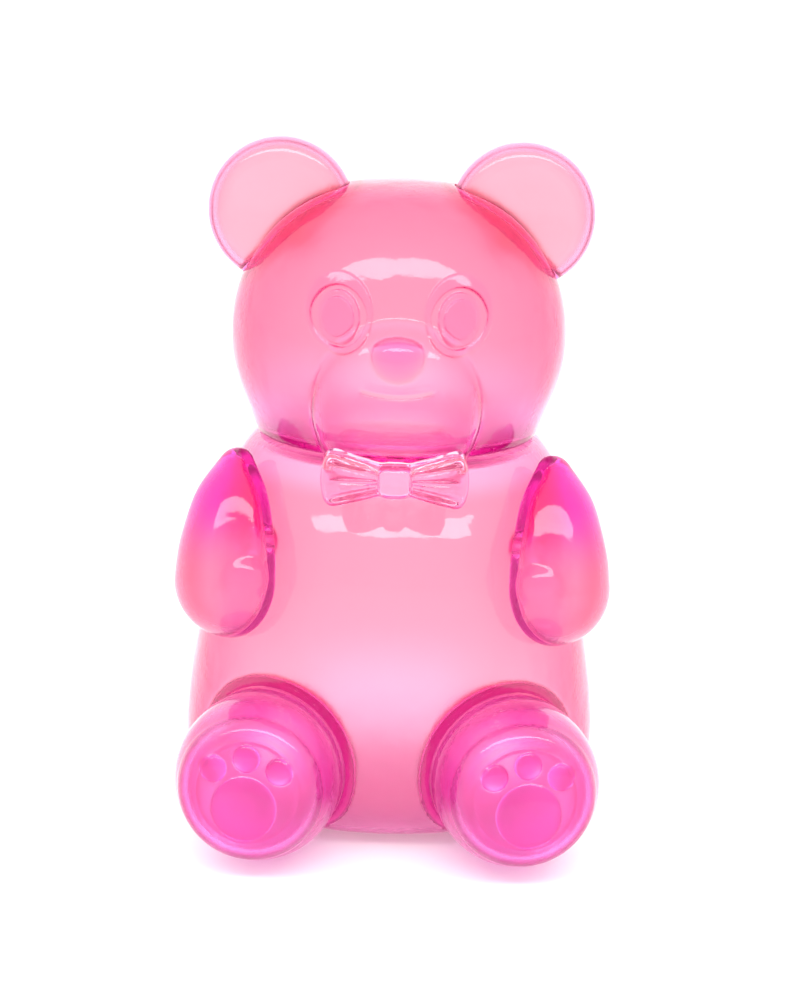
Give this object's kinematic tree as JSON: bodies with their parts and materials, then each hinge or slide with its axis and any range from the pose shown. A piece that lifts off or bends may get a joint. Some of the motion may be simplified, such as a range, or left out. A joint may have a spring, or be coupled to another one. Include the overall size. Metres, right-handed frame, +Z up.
{
  "type": "vinyl bear figure",
  "caption": "Seated translucent vinyl bear figure with round ears, bow tie, turning head, swinging arms and twisting legs on press-in plug joints.",
  "frame": {"origin": "centre of the bounding box's bottom face, on the table plane under the figure", "axes": "+Z up, the face looks along -Y, the figure's own left side is +X"},
  "size_m": [0.1256, 0.1306, 0.2],
  "materials": {
    "clear_pink_vinyl": "glossy translucent soft vinyl",
    "pale_pink_vinyl": "glossy translucent soft vinyl",
    "deep_pink_vinyl": "glossy translucent soft vinyl",
    "bow_pink_vinyl": "glossy translucent soft vinyl"
  },
  "bodies": {
    "torso": {"torso": "clear_pink_vinyl", "bow_tie": "bow_pink_vinyl"},
    "head": {"head": "clear_pink_vinyl", "left_ear": "pale_pink_vinyl", "right_ear": "pale_pink_vinyl"},
    "left_arm": {"left_arm": "deep_pink_vinyl"},
    "right_arm": {"right_arm": "deep_pink_vinyl"},
    "left_leg": {"left_leg": "deep_pink_vinyl"},
    "right_leg": {"right_leg": "deep_pink_vinyl"}
  },
  "joints": [
    {"name": "head_turn", "type": "hinge", "parent": "torso", "child": "head", "pos_m": [0, 0.0105, 0.114], "axis": [0, 0, 1], "continuous": true},
    {"name": "left_arm_swing", "type": "hinge", "parent": "torso", "child": "left_arm", "pos_m": [0.03973, -0.01999, 0.0869], "axis": [-0.6917, 0.6917, -0.2079], "range_deg": [-60, 60]},
    {"name": "right_arm_swing", "type": "hinge", "parent": "torso", "child": "right_arm", "pos_m": [-0.03973, -0.01999, 0.0869], "axis": [-0.6917, -0.6917, 0.2079], "range_deg": [-60, 60]},
    {"name": "left_leg_twist", "type": "hinge", "parent": "torso", "child": "left_leg", "pos_m": [0.033, -0.0135, 0.0216], "axis": [0.1126, -0.9881, 0.1045], "continuous": true},
    {"name": "right_leg_twist", "type": "hinge", "parent": "torso", "child": "right_leg", "pos_m": [-0.033, -0.0135, 0.0216], "axis": [-0.1126, -0.9881, 0.1045], "continuous": true}
  ]
}
